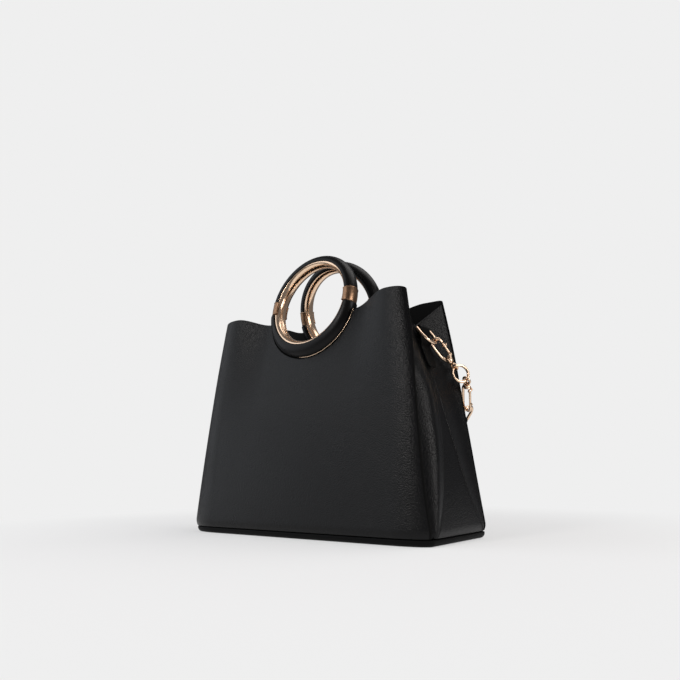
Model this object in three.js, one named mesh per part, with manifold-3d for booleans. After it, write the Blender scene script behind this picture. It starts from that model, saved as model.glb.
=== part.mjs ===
// A structured leather satchel with two ring handles and a strap clipped to a tab on each side.
// Millimetres, +Z up, +X to the right and +Y to the back of the bag; the sole stands on z = 0.

import * as THREE from "three";
import loadManifold from "manifold-3d";

const { clamp, degToRad, lerp, radToDeg, smoothstep } = THREE.MathUtils;
const library = await loadManifold();
library.setup();

// Driving dimensions
const GAP = 0.3; // clearance between touching pieces
const BODY = {
  baseWidth: 314, topWidth: 254, // over the rolled side edges
  baseDepth: 123, topDepth: 80, // over the panels, at their corners
  height: 239, // top corners above the floor
  sideBow: 3.2, // how far the side edges bow out at half height
  belly: 2.5, bellyTop: 0.6, // how far a panel swells, up to this share of its height
  wall: 2,
};
const ROLL = { baseRadius: 20, topRadius: 9.5, turn: 76, cornerDrop: 5 }; // side edge of a panel
const GUSSET = {
  topMiddle: 207.5, // height of the top edge at the fold
  creaseTop: 150, // height at which the two creases from the base corners meet
  valley: 2.5, // half width of the fold's bottom above that
  seamStep: 2.7, // the gusset starts this far inside the panel's edge
  seamInside: 1, creaseInside: 4, // seam inside the panel's edge, and the creases' feet inside the seam
  roll: 5.5, rollShare: 0.2, rollSkew: 1.4, // soft roll between a crease and the seam
  rollFades: 140, rollGone: 205, // heights between which the roll dies out
};
const FOLD = [ // how far the gusset's middle is tucked in
  { height: 0, depth: 0 },
  { height: 100, depth: 4 },
  { height: 140, depth: 8 },
  { height: 165, depth: 12.5 },
  { height: 185, depth: 16.5 },
  { height: 210, depth: 19.5 },
  { height: 250, depth: 21 },
];
const SOLE = { height: 6, inset: 1, corner: 19, bevel: 1.5 };
const BASE_PANEL = { inset: 6.4, sideInset: 3, corner: 17, thickness: 2.2 };
const RING = { radius: 50, centreHeight: 243.5, centreDepth: 23.6, lean: 13, stepAngle: 9 };
const TUBE = { // leather covers the tube by its angle either way from the outer side
  metal: { radial: 5.9, depth: 7.3 },
  collar: { radial: 8, depth: 9.5 },
  grip: { radial: 7.4, depth: 8.9, angle: 118 },
  cuff: { radial: 8.8, depth: 9.5, angle: 92 },
  cuffSwell: 3.8, // the cuff is this much thicker at its lowest point
};
const TRIM_RADIUS = 0.7;
const SEAT = { end: 15, shoulder: 104, margin: 6, blend: 3 }; // the panel leaves the ring so many degrees down
const TAB = { width: 17, thickness: 1.6, lowEnd: 162, tapered: 8, taper: 9, returnEnd: 191, leaves: 183 };
const D_RING = { leg: 8, corner: 2.5, wire: 1.6, hookAngle: 40 };
const SIDE_D_RING = { halfWidth: 11.5, barHeight: 201.5, swing: 38 }; // swung out from the gusset
const STRAP_D_RING = { halfWidth: 8.7, bar: point(123.2, 71.5, 115.3), lean: 37 }; // bar in the strap's end
const O_RING = { radius: 8.6, wire: 1.4, centre: point(146.2, 29.2, 157.6), normal: point(0.83, -0.53, 0.17) };
const CLASP = {
  eyeRadius: 3.6, eyeWire: 1.2, postRadius: 1.1, headRadius: 2, headHeight: 1.2,
  boreRadius: 1.4, barrelRadius: 3.3, barrelStart: 7.8, barrelLength: 5.2,
  wire: 1.5, halfWidth: 4.9, tipDrop: 3, // claw, between centre lines
  clawFoot: [[2.25, -2], [4.4, 2.2], [4.9, 6]], // its line across and above the barrel's top
  pivotAcross: 4.3, pivotRise: 1.8, pinRadius: 0.6, pinHead: 1.2, pinEnd: 2.2,
  gateEye: 1.6, gateWire: 1.2, gateHalf: 1.2, spur: 3.2, spurShare: 0.68, spurWire: 0.96,
  ear: 2.1, earThickness: 1, earWidth: 2.6, earLine: [[-2, -2.6], [-4.7, 3.1]],
};
const STRAP = { width: 12, thickness: 2, layerGap: 0.4, pinch: 8, bend: 38, overlap: 24, lift: 0.2 };

const LEATHER = { color: 0x232325, roughness: 0.5, metalness: 0 };
const SMOOTH_LEATHER = { color: 0x1c1b1c, roughness: 0.35, metalness: 0 };
const ROSE_GOLD = { color: 0xc99a78, roughness: 0.22, metalness: 1 };

const satchel = new THREE.Group();
const ORIGIN = point(0, 0, 0);
const X = point(1, 0, 0);
const Y = point(0, 1, 0);
const Z = point(0, 0, 1);

function point(x, y, z) {
  return new THREE.Vector3(x, y, z);
}

function steps(count) {
  return Array.from({ length: count + 1 }, (_, i) => i / count);
}

function piece(name, geometry, finish) {
  const mesh = new THREE.Mesh(geometry, new THREE.MeshStandardMaterial(finish));
  mesh.name = name;
  return mesh;
}

// Closed solid through loops of equal length. Each open end is capped by a strip across its loop.
function loft(loops, closed = false) {
  const size = loops[0].length;
  const corners = loops.flat();
  const faces = [];
  const bands = closed ? loops.length : loops.length - 1;
  for (let band = 0; band < bands; band += 1) {
    const next = (band + 1) % loops.length;
    for (let i = 0; i < size; i += 1) {
      const j = (i + 1) % size;
      const [a, b, c, d] = [band * size + i, band * size + j, next * size + j, next * size + i];
      faces.push(a, b, c, a, c, d);
    }
  }
  if (!closed) {
    const last = (loops.length - 1) * size;
    for (let i = 0; i < size / 2 - 1; i += 1) {
      const [a, b, c, d] = [i, i + 1, size - 2 - i, size - 1 - i];
      faces.push(a, c, b, a, d, c);
      faces.push(last + a, last + b, last + c, last + a, last + c, last + d);
    }
  }
  return facingOut(corners, faces);
}

function facingOut(corners, faces) {
  let volume = 0;
  for (let i = 0; i < faces.length; i += 3) {
    const [a, b, c] = [corners[faces[i]], corners[faces[i + 1]], corners[faces[i + 2]]];
    volume += a.dot(b.clone().cross(c));
  }
  const geometry = new THREE.BufferGeometry().setFromPoints(corners);
  geometry.setIndex(volume < 0 ? faces.slice().reverse() : faces);
  geometry.computeVertexNormals();
  return geometry;
}

// Sheet of leather: outer(u, v) is its outside, and the inside lies one wall deeper.
function sheet(outer, columns, rows, wall) {
  const nudge = 1e-3;
  const inside = (u, v) => {
    const along = outer(u + nudge, v).sub(outer(u - nudge, v));
    const up = outer(u, v + nudge).sub(outer(u, v - nudge));
    return outer(u, v).addScaledVector(along.cross(up).normalize(), -wall);
  };
  return loft(rows.map((v) => [
    ...columns.map((u) => outer(u, v)),
    ...columns.map((u) => inside(u, v)).reverse(),
  ]));
}

// Direction of a path at one of its points; an open end follows the path's bend.
function heading(path, i, closed) {
  const count = path.length;
  const inner = i > 0 && i < count - 1;
  if (closed || inner) {
    return path[(i + 1) % count].clone().sub(path[(i + count - 1) % count]).normalize();
  }
  const [end, next, third] = i === 0 ? [0, 1, 2] : [count - 1, count - 2, count - 3];
  const out = path[next].clone().sub(path[end]);
  if (count > 2) {
    out.multiplyScalar(4).sub(path[third].clone().sub(path[end]));
  }
  return out.multiplyScalar(i === 0 ? 1 : -1).normalize();
}

// Section carried along a path. Its first axis is square to the path and to the side direction.
function sweep(path, side, sectionAt, closed = false) {
  return loft(path.map((place, i) => {
    const along = heading(path, i, closed);
    const across = along.clone().cross(side).normalize();
    const over = across.clone().cross(along);
    return sectionAt(i / (path.length - 1)).map(([a, b]) => (
      place.clone().addScaledVector(across, a).addScaledVector(over, b)
    ));
  }), closed);
}

function ellipse(sides, a, b = a) {
  return Array.from({ length: sides }, (_, i) => {
    const turn = (2 * Math.PI * (i + 0.5)) / sides;
    return [a * Math.cos(turn), b * Math.sin(turn)];
  });
}

function arc(centre, first, second, radius, from, to, count) {
  return steps(count).map((t) => {
    const turn = degToRad(lerp(from, to, t));
    return centre.clone()
      .addScaledVector(first, radius * Math.cos(turn))
      .addScaledVector(second, radius * Math.sin(turn));
  });
}

function solid(geometry) {
  const mesh = new library.Mesh({
    numProp: 3,
    vertProperties: new Float32Array(geometry.attributes.position.array),
    triVerts: new Uint32Array(geometry.index.array),
  });
  mesh.merge();
  return new library.Manifold(mesh);
}

function geometryOf(shape) {
  const mesh = shape.getMesh();
  const geometry = new THREE.BufferGeometry();
  geometry.setAttribute("position", new THREE.BufferAttribute(mesh.vertProperties, 3));
  geometry.setIndex(new THREE.BufferAttribute(mesh.triVerts, 1));
  geometry.computeVertexNormals();
  return geometry;
}

function joined(...geometries) {
  return geometryOf(library.Manifold.union(geometries.map(solid)));
}

function rod(from, to, radius, sides) {
  const side = Math.abs(to.clone().sub(from).normalize().dot(Y)) > 0.9 ? X : Y;
  return sweep([from, to], side, () => ellipse(sides, radius));
}

// Body: its section at one height, and how far a panel's middle is drawn in by the leaning ring
function bodyAt(z) {
  const rise = (z - SOLE.height) / (BODY.height - SOLE.height);
  const halfDepth = lerp(BODY.baseDepth, BODY.topDepth, rise) / 2;
  const ringPlane = RING.centreDepth + (RING.centreHeight - z) * Math.tan(degToRad(RING.lean));
  const drawn = halfDepth - ringPlane - BODY.wall / 2;
  return {
    halfWidth: lerp(BODY.baseWidth, BODY.topWidth, rise) / 2 + BODY.sideBow * 4 * rise * (1 - rise),
    halfDepth,
    roll: lerp(ROLL.baseRadius, ROLL.topRadius, rise),
    drawnIn: (drawn + Math.hypot(drawn, SEAT.blend)) / 2,
    belly: BODY.belly * Math.sin(Math.PI * clamp(rise / BODY.bellyTop, 0, 1)),
  };
}

// Panel: columns run from the base to the top edge. A share of 0 is the middle, up to SEAT_SHARE the
// top edge is the ring's seat, at 1 the side roll starts, and at 2 it ends.
const SEAT_SHARE = 0.44;
const ringUpright = Math.cos(degToRad(RING.lean));
const seatEnd = -degToRad(SEAT.end);
const seatFoot = seatPoint(seatEnd);

// Thickness of the cuff's outer side at an angle about the ring's middle
function cuffRadial(turn) {
  return TUBE.cuff.radial + TUBE.cuffSwell * Math.max(0, -Math.sin(turn));
}

// Edge of the panel under the cuff
function seatPoint(turn) {
  const radius = RING.radius + cuffRadial(turn) + GAP;
  return {
    across: radius * Math.cos(turn),
    height: RING.centreHeight + radius * Math.sin(turn) * ringUpright,
  };
}

const topBody = bodyAt(BODY.height);
const topFlat = topBody.halfWidth - topBody.roll;

function topEdge(share) {
  if (share < SEAT_SHARE) {
    return seatPoint(lerp(-Math.PI / 2, seatEnd, share / SEAT_SHARE));
  }
  const across = lerp(seatFoot.across, topFlat, (share - SEAT_SHARE) / (1 - SEAT_SHARE));
  const climb = smoothstep(across, seatFoot.across, SEAT.shoulder);
  return { across, height: lerp(seatFoot.height, BODY.height, climb) };
}

function panelPoint(share, v) {
  const side = Math.sign(share) || 1;
  const flat = Math.min(Math.abs(share), 1);
  const rolled = Math.abs(share) - flat;
  const top = topEdge(flat);
  const drop = ROLL.cornerDrop * (1 - Math.sqrt(1 - Math.min(rolled, 1) ** 2));
  const z = lerp(SOLE.height + GAP, top.height - drop, v);
  const { halfWidth, halfDepth, roll, drawnIn, belly } = bodyAt(z);
  const edge = halfWidth - roll;
  const across = edge * lerp(flat, top.across / topFlat, v);
  const inward = drawnIn * (1 - smoothstep(across, seatFoot.across + SEAT.margin, edge));
  const outward = belly * Math.cos((Math.PI / 2) * (across / edge));
  const turn = degToRad(ROLL.turn) * rolled;
  return point(
    side * (across + roll * Math.sin(turn)),
    inward - outward - halfDepth + roll * (1 - Math.cos(turn)),
    z,
  );
}

function mirroredColumns(half) {
  return [...half.slice(1).map((share) => -share).reverse(), ...half];
}

function panelGeometry() {
  const seat = steps(6).map((t) => SEAT_SHARE * t);
  const shoulder = steps(6).slice(1).map((t) => lerp(SEAT_SHARE, 1, t));
  const roll = steps(4).slice(1).map((t) => 1 + t);
  return sheet(panelPoint, mirroredColumns([...seat, ...shoulder, ...roll]), steps(6), BODY.wall);
}

// Gusset: a flat triangle on the base, two facets tucked in above it, and a soft roll along each seam.
// A share of 0 is the middle, CREASE_SHARE is the crease and 1 is the seam.
const CREASE_SHARE = 0.4;

function foldDepth(z) {
  const next = FOLD.findIndex((row) => row.height > z);
  const [low, high] = [FOLD[next - 1], FOLD[next]];
  return lerp(low.depth, high.depth, (z - low.height) / (high.height - low.height));
}

function gussetAt(z) {
  const { halfWidth, halfDepth, roll } = bodyAt(z);
  const seam = halfDepth - roll * (1 - Math.cos(degToRad(ROLL.turn))) - GUSSET.seamInside;
  const climb = (z - SOLE.height) / (GUSSET.creaseTop - SOLE.height);
  return { halfWidth, seam, crease: Math.max(GUSSET.valley, (seam - GUSSET.creaseInside) * (1 - climb)) };
}

// How far out the gusset stands at a distance from the middle
function gussetSide(away, z) {
  const { halfWidth, seam, crease } = gussetAt(z);
  const facet = clamp((away - crease) / (seam - crease), 0, 1);
  const tuck = lerp(foldDepth(z), GUSSET.seamStep, facet);
  const full = 1 - smoothstep(z, GUSSET.rollFades, GUSSET.rollGone);
  const bulge = full * Math.min(GUSSET.roll, (seam - crease) * GUSSET.rollShare);
  return halfWidth - tuck + bulge * Math.sin(Math.PI * facet ** GUSSET.rollSkew);
}

function gussetPoint(share, v) {
  const away = Math.abs(share);
  const seamTop = BODY.height - ROLL.cornerDrop - GUSSET.seamInside;
  const triangle = Math.min(away / CREASE_SHARE, 1);
  const facet = Math.max(0, (away - CREASE_SHARE) / (1 - CREASE_SHARE));
  const z = lerp(SOLE.height + GAP, lerp(GUSSET.topMiddle, seamTop, facet), v);
  const { seam, crease } = gussetAt(z);
  const depth = lerp(crease * triangle, seam, facet);
  return point(gussetSide(depth, z), Math.sign(share) * depth, z);
}

function gussetGeometry() {
  const triangle = steps(2).map((t) => CREASE_SHARE * t);
  const facet = steps(5).slice(1).map((t) => lerp(CREASE_SHARE, 1, t));
  return sheet(gussetPoint, mirroredColumns([...triangle, ...facet]), steps(9), BODY.wall);
}

function turnedAbout(mesh) {
  mesh.rotation.z = Math.PI;
  return mesh;
}

satchel.add(piece("front_panel", panelGeometry(), LEATHER));
satchel.add(turnedAbout(piece("back_panel", panelGeometry(), LEATHER)));
satchel.add(piece("gusset_right", gussetGeometry(), LEATHER));
satchel.add(turnedAbout(piece("gusset_left", gussetGeometry(), LEATHER)));

// Flat slabs under the body
function roundedPlan(halfWidth, halfDepth, corner) {
  const plan = new THREE.Shape();
  const [a, b] = [halfWidth - corner, halfDepth - corner];
  plan.absarc(a, b, corner, 0, Math.PI / 2, false);
  plan.absarc(-a, b, corner, Math.PI / 2, Math.PI, false);
  plan.absarc(-a, -b, corner, Math.PI, 1.5 * Math.PI, false);
  plan.absarc(a, -b, corner, 1.5 * Math.PI, 2 * Math.PI, false);
  return plan;
}

const soleInset = SOLE.inset + SOLE.bevel;
const solePlan = roundedPlan(BODY.baseWidth / 2 - soleInset, BODY.baseDepth / 2 - soleInset, SOLE.corner);
const sole = piece("sole", new THREE.ExtrudeGeometry(solePlan, {
  depth: SOLE.height - 2 * SOLE.bevel, curveSegments: 5,
  bevelSize: SOLE.bevel, bevelThickness: SOLE.bevel, bevelSegments: 1,
}), LEATHER);
sole.position.z = SOLE.bevel;
satchel.add(sole);

const basePlan = roundedPlan(
  BODY.baseWidth / 2 - BASE_PANEL.inset,
  BODY.baseDepth / 2 - BASE_PANEL.sideInset,
  BASE_PANEL.corner,
);
const basePanel = piece("base_panel", new THREE.ExtrudeGeometry(basePlan, {
  depth: BASE_PANEL.thickness, curveSegments: 5, bevelEnabled: false,
}), LEATHER);
basePanel.position.z = SOLE.height + GAP;
satchel.add(basePanel);

// Ring handle in its own plane: X across, Z up, centre at the origin
function circle(radius, count, centre = ORIGIN, first = X, second = Z) {
  return arc(centre, first, second, radius, 0, 360, count).slice(0, -1);
}

// Leather cover: a C-shaped section, open at the tube's inner side, which its first axis points to
function coverSection({ radial, depth, angle }) {
  const sides = 6;
  const turns = steps(sides).map((t) => degToRad(lerp(-angle, angle, t)));
  const flatten = 1 / Math.cos(degToRad(angle / sides)); // keeps the flats clear of the metal
  const [a, b] = [(TUBE.metal.radial + GAP) * flatten, (TUBE.metal.depth + GAP) * flatten];
  const outside = turns.map((turn) => [-radial * Math.cos(turn), depth * Math.sin(turn)]);
  const inside = turns.map((turn) => [-a * Math.cos(turn), b * Math.sin(turn)]);
  return [...outside, ...inside.reverse()];
}

function ringMetal(collarHalf) {
  const { metal, collar } = TUBE;
  const core = sweep(circle(RING.radius, 360 / RING.stepAngle), Y,
    () => ellipse(8, metal.radial, metal.depth), true);
  const collars = [0, 180].map((middle) => sweep(
    arc(ORIGIN, X, Z, RING.radius, middle - collarHalf, middle + collarHalf, 2), Y,
    () => ellipse(10, collar.radial, collar.depth)));
  return joined(core, ...collars);
}

function cover(from, to, sectionAt) {
  const path = arc(ORIGIN, X, Z, RING.radius, from, to, (to - from) / RING.stepAngle);
  return sweep(path, Y, (t) => coverSection(sectionAt(degToRad(lerp(from, to, t)))));
}

function cuffAt(turn) {
  return { ...TUBE.cuff, radial: cuffRadial(turn) };
}

function trim() {
  const front = -(BODY.wall / 2 + GAP + TRIM_RADIUS);
  const path = steps(16).map((t) => {
    const turn = lerp(-Math.PI - seatEnd, seatEnd, t);
    const radius = RING.radius + cuffRadial(turn) + GAP + TRIM_RADIUS;
    return point(radius * Math.cos(turn), front, radius * Math.sin(turn));
  });
  return sweep(path, Y, () => ellipse(5, TRIM_RADIUS));
}

function handle(name) {
  const group = new THREE.Group();
  const collarEnd = RING.stepAngle;
  const collarHalf = collarEnd - radToDeg(GAP / RING.radius);
  group.add(piece(`handle_${name}_ring`, ringMetal(collarHalf), ROSE_GOLD));
  const grip = cover(collarEnd, 180 - collarEnd, () => TUBE.grip);
  const cuff = cover(180 + collarEnd, 360 - collarEnd, cuffAt);
  group.add(piece(`handle_${name}_grip`, grip, SMOOTH_LEATHER));
  group.add(piece(`handle_${name}_cuff`, cuff, SMOOTH_LEATHER));
  group.add(piece(`handle_${name}_trim`, trim(), ROSE_GOLD));
  group.position.set(0, -RING.centreDepth, RING.centreHeight);
  group.rotation.x = -degToRad(RING.lean);
  return group;
}

const backHandle = new THREE.Group();
backHandle.add(handle("back"));
satchel.add(handle("front"), turnedAbout(backHandle));

// Side fittings, for the right side. Each link's own frame has its length along Z and its flat normal to Y.
function placed(mesh, origin, along, normal) {
  const z = along.clone().normalize();
  const x = normal.clone().cross(z).normalize();
  const y = z.clone().cross(x);
  mesh.applyMatrix4(new THREE.Matrix4().makeBasis(x, y, z).setPosition(origin));
  return mesh;
}

function rectangle(width, height) {
  const [a, b] = [width / 2, height / 2];
  return [[-a, -b], [a, -b], [a, b], [-a, b]];
}

function annulus(inner, outer, length, middle, axis, first, second, sides) {
  const path = circle((inner + outer) / 2, sides, middle, first, second);
  return sweep(path, axis, () => rectangle(outer - inner, length), true);
}

function oRingGeometry() {
  return sweep(circle(O_RING.radius, 14), Y, () => ellipse(5, O_RING.wire), true);
}

function inSideView(degreesFromUp) {
  const turn = degToRad(degreesFromUp);
  return point(Math.sin(turn), 0, Math.cos(turn));
}

const sideReach = inSideView(180 - SIDE_D_RING.swing);
const strapReach = inSideView(STRAP_D_RING.lean);

// Tab: a strip up the fold, round the D-ring's bar and a short way back behind itself
const tabLoop = D_RING.wire + GAP + TAB.thickness / 2;

function tabSeat(z) {
  const under = steps(3).map((t) => gussetSide(t * TAB.width * 0.5, z));
  return Math.max(...under) + 2 * GAP + TAB.thickness / 2;
}

const { barHeight } = SIDE_D_RING;
const sideBar = point(tabSeat(barHeight) + tabLoop, 0, barHeight);

function tabGeometry() {
  const layer = TAB.thickness + GAP;
  const outerRun = [TAB.lowEnd, TAB.lowEnd + TAB.taper, TAB.leaves]
    .map((z) => point(tabSeat(z), 0, z));
  const spread = [TAB.returnEnd - 1, barHeight - 5]
    .map((z, i) => point(tabSeat(z) + layer * (1 + i), 0, z));
  const over = arc(sideBar, X, Z, tabLoop, 0, 180, 6);
  const end = point(tabSeat(TAB.returnEnd), 0, TAB.returnEnd);
  const widthAt = (t) => (t === 0 ? TAB.tapered : TAB.width);
  return sweep([...outerRun, ...spread, ...over, end], Y, (t) => rectangle(TAB.thickness, widthAt(t)));
}

// D-ring with its bar along Y; its bow lies towards the reach direction.
function dRingGeometry(halfWidth, bar, reach) {
  const { leg, corner, wire } = D_RING;
  const at = (across, down) => bar.clone().addScaledVector(Y, across).addScaledVector(reach, down);
  const bow = arc(at(0, leg), Y, reach, halfWidth, 0, 180, 10);
  const left = arc(at(corner - halfWidth, corner), Y, reach, corner, 180, 270, 2);
  const right = arc(at(halfWidth - corner, corner), Y, reach, corner, 270, 360, 2);
  return sweep([...bow, ...left, ...right], Y.clone().cross(reach), () => ellipse(6, wire), true);
}

// Where a hook bears on the bow, at an angle from its middle, and the wire's direction there
function hookPoint(halfWidth, bar, reach, angle) {
  const turn = degToRad(angle);
  const out = reach.clone().multiplyScalar(Math.cos(turn)).addScaledVector(Y, Math.sin(turn));
  return {
    contact: bar.clone().addScaledVector(reach, D_RING.leg)
      .addScaledVector(out, halfWidth - D_RING.wire - GAP / 2),
    wireAlong: reach.clone().multiplyScalar(Math.sin(turn)).addScaledVector(Y, -Math.cos(turn)),
  };
}

// Clasp: the eye's inner contact is the origin and the claw's inner contact is at z = span.
function claspSizes(span) {
  const barrelTop = CLASP.barrelStart + CLASP.barrelLength;
  const noseCentre = span + GAP / 2 + CLASP.wire - CLASP.halfWidth;
  return {
    barrelTop,
    noseCentre,
    tip: noseCentre - CLASP.tipDrop,
    pivot: point(-CLASP.pivotAcross, 0, barrelTop + CLASP.pivotRise),
  };
}

function claspBody(span) {
  const { barrelTop, noseCentre, tip, pivot } = claspSizes(span);
  const { barrelLength, halfWidth, wire, ear } = CLASP;
  const above = (line, y) => line.map(([across, rise]) => point(across, y, barrelTop + rise));
  const barrelMiddle = point(0, 0, CLASP.barrelStart + barrelLength / 2);
  const barrel = annulus(CLASP.boreRadius, CLASP.barrelRadius, barrelLength, barrelMiddle, Z, X, Y, 10);
  const claw = sweep([
    ...above(CLASP.clawFoot, 0),
    ...arc(point(0, 0, noseCentre), X, Z, halfWidth, 0, 180, 7),
    point(-halfWidth, 0, tip),
  ], Y, () => ellipse(6, wire));
  const lug = sweep(above(CLASP.earLine, ear), Y, () => rectangle(CLASP.earWidth, CLASP.earThickness));
  const pinFoot = pivot.clone().setY(ear + CLASP.earThickness / 2);
  const pinEnd = pivot.clone().setY(-CLASP.pinEnd);
  const pin = rod(pinFoot, pinEnd, CLASP.pinRadius, 6);
  const head = rod(pinEnd, pivot.clone().setY(-CLASP.gateHalf - GAP), CLASP.pinHead, 8);
  return joined(barrel, claw, lug, pin, head);
}

function claspGate(span) {
  const { tip, pivot } = claspSizes(span);
  const { gateEye, gateHalf, gateWire, halfWidth, pinRadius, spur } = CLASP;
  const eye = annulus(pinRadius + GAP, gateEye, 2 * gateHalf, pivot, Y, X, Z, 8);
  const foot = pivot.clone().addScaledVector(Z, (pinRadius + GAP + gateEye) / 2);
  const end = point(-halfWidth, 0, tip - GAP);
  const thumb = foot.clone().lerp(end, CLASP.spurShare);
  const spurEnd = thumb.clone().add(point(-spur, 0, spur / 2));
  return joined(eye, rod(foot, end, gateWire, 6), rod(thumb, spurEnd, CLASP.spurWire, 6));
}

function claspSwivel(span) {
  const { barrelTop } = claspSizes(span);
  const { eyeRadius, eyeWire, postRadius, headRadius, headHeight } = CLASP;
  const eyeCentre = point(0, 0, eyeRadius - eyeWire - GAP / 2);
  const eye = sweep(circle(eyeRadius, 10, eyeCentre), Y, () => ellipse(5, eyeWire), true);
  const headFoot = point(0, 0, barrelTop + GAP);
  const top = point(0, 0, headFoot.z + headHeight);
  const post = rod(point(0, 0, eyeCentre.z + eyeRadius), top, postRadius, 6);
  return joined(eye, post, rod(headFoot, top, headRadius, 8));
}

// A clasp from a ring's wire to a hook point; the swivel turns to suit the ring.
function clasp(name, eyeContact, hookContact, eyeNormal, hookNormal) {
  const group = new THREE.Group();
  const along = hookContact.clone().sub(eyeContact);
  const span = along.length();
  group.add(placed(piece(`${name}_body`, claspBody(span), ROSE_GOLD), eyeContact, along, hookNormal));
  group.add(placed(piece(`${name}_gate`, claspGate(span), ROSE_GOLD), eyeContact, along, hookNormal));
  group.add(placed(piece(`${name}_swivel`, claspSwivel(span), ROSE_GOLD), eyeContact, along, eyeNormal));
  return group;
}

function sideFittings(side) {
  const group = new THREE.Group();
  const name = (part) => `${side}_${part}`;
  const upper = hookPoint(SIDE_D_RING.halfWidth, sideBar, sideReach, D_RING.hookAngle);
  const lower = hookPoint(STRAP_D_RING.halfWidth, STRAP_D_RING.bar, strapReach, -D_RING.hookAngle);

  const flat = O_RING.normal;
  const inPlane = (place) => place.clone().sub(O_RING.centre).projectOnPlane(flat).normalize();
  const toUpper = inPlane(upper.contact);
  const toLower = inPlane(lower.contact);
  const eyeOn = (toward, hook) => {
    const wire = O_RING.centre.clone().addScaledVector(toward, O_RING.radius);
    const along = hook.contact.clone().sub(wire).normalize();
    return wire.addScaledVector(along, -O_RING.wire - GAP / 2);
  };
  const upperWire = flat.clone().cross(toUpper);
  const lowerWire = flat.clone().cross(toLower);
  const strapRing = dRingGeometry(STRAP_D_RING.halfWidth, STRAP_D_RING.bar, strapReach);

  group.add(piece(name("tab"), tabGeometry(), LEATHER));
  group.add(piece(name("d_ring"), dRingGeometry(SIDE_D_RING.halfWidth, sideBar, sideReach), ROSE_GOLD));
  group.add(clasp(name("upper_clasp"), eyeOn(toUpper, upper), upper.contact, upperWire, upper.wireAlong));
  group.add(placed(piece(name("o_ring"), oRingGeometry(), ROSE_GOLD), O_RING.centre, toUpper, flat));
  const flipped = lower.wireAlong.negate();
  group.add(clasp(name("lower_clasp"), eyeOn(toLower, lower), lower.contact, lowerWire, flipped));
  group.add(piece(name("strap_ring"), strapRing, ROSE_GOLD));
  return group;
}

const leftFittings = sideFittings("left");
leftFittings.scale.x = -1;
satchel.add(sideFittings("right"), leftFittings);

// Strap: folded round a D-ring's bar, down behind the bag, along the floor and up to the other bar
function strapGeometry() {
  const { thickness, bend, overlap, pinch, layerGap } = STRAP;
  const { bar, lean } = STRAP_D_RING;
  const across = inSideView(lean + 90);
  const layer = (thickness + layerGap) / 2;
  const loop = D_RING.wire + GAP + thickness / 2;
  const floor = thickness / 2 + STRAP.lift;
  const at = (aside, up) => bar.clone().addScaledVector(across, aside).addScaledVector(strapReach, up);
  const fold = at(layer, -overlap);
  const upright = arc(fold.clone().addScaledVector(across, bend), across, strapReach, bend, 180, 180 + lean, 4);
  const low = upright[upright.length - 1];
  const bendCentre = point(low.x - bend, low.y, floor + bend);
  const right = [
    at(-layer, -overlap),
    at(-layer, -pinch),
    ...arc(bar, across, strapReach, loop, 205, -25, 8),
    at(layer, -pinch),
    ...upright,
    ...arc(bendCentre, X, Z, bend, 0, -90, 6),
  ];
  const left = right.map((place) => place.clone().setX(-place.x)).reverse();
  return sweep([...right, ...left], Y, () => rectangle(thickness, STRAP.width));
}

satchel.add(piece("strap", strapGeometry(), LEATHER));

export default satchel;
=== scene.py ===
import math

import bmesh
import bpy
import numpy as np
from mathutils import Matrix, Vector


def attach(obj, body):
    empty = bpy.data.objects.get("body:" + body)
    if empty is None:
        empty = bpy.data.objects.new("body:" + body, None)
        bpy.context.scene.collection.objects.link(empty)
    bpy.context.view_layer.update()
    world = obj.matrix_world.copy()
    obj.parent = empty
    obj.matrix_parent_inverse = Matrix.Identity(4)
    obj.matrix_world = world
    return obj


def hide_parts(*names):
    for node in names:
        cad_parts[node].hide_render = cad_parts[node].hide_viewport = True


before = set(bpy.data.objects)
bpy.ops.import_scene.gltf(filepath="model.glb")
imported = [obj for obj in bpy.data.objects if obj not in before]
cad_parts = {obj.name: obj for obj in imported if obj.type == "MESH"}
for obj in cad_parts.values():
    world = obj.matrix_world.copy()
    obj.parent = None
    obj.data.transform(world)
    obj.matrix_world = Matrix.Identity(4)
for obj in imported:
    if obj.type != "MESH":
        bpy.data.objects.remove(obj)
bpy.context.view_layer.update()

MM = 0.001
X, Y, Z = np.eye(3)
GAP = 0.3

BODY_WIDTH = (314, 254)  # at the base and at the top corners
BODY_DEPTH = (123, 80)
BODY_HEIGHT = 239
SOLE_HEIGHT = 6
SIDE_BOW = 3.2
BELLY, BELLY_TOP = 2.5, 0.6
WALL = 2.0
ROLL_RADIUS = (20, 9.5)
ROLL_LONG, ROLL_SHORT = 2.0, 0.8  # half axes of the side roll's ellipse, as shares of its radius
ROLL_HEIGHTS = (-60, 6, 30, 62, 110, 150, 200, 239, 300)
ROLL_TURNS = (80, 78, 69, 64, 62, 65, 78, 84, 84)  # degrees the ellipse runs round at those heights
CURL, CURL_START = 1.6, 0.88  # the roll's last part bends into the groove by this much
GROOVE_SHADE_ROWS = 8  # rows of the panel's grid along its side edges in dark matt leather: painted shade of the groove at the gusset
CORNER_DROP = 5
TUCK_UNDER, TUCK_HEIGHT = 3.0, 8  # the walls' foot turns in towards the sole
SOLE_INSET, SOLE_CORNER = 2.6, np.array([38, 14])  # the corners' half axes along x and y
SOLE_FOOT_EDGE, SOLE_TOP_EDGE = 5.0, 0.8
BASE_INSET, BASE_CORNER, BASE_TOP, BASE_EDGE = 8, np.array([38, 17]), SOLE_HEIGHT + 2.5, 0.4

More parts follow.
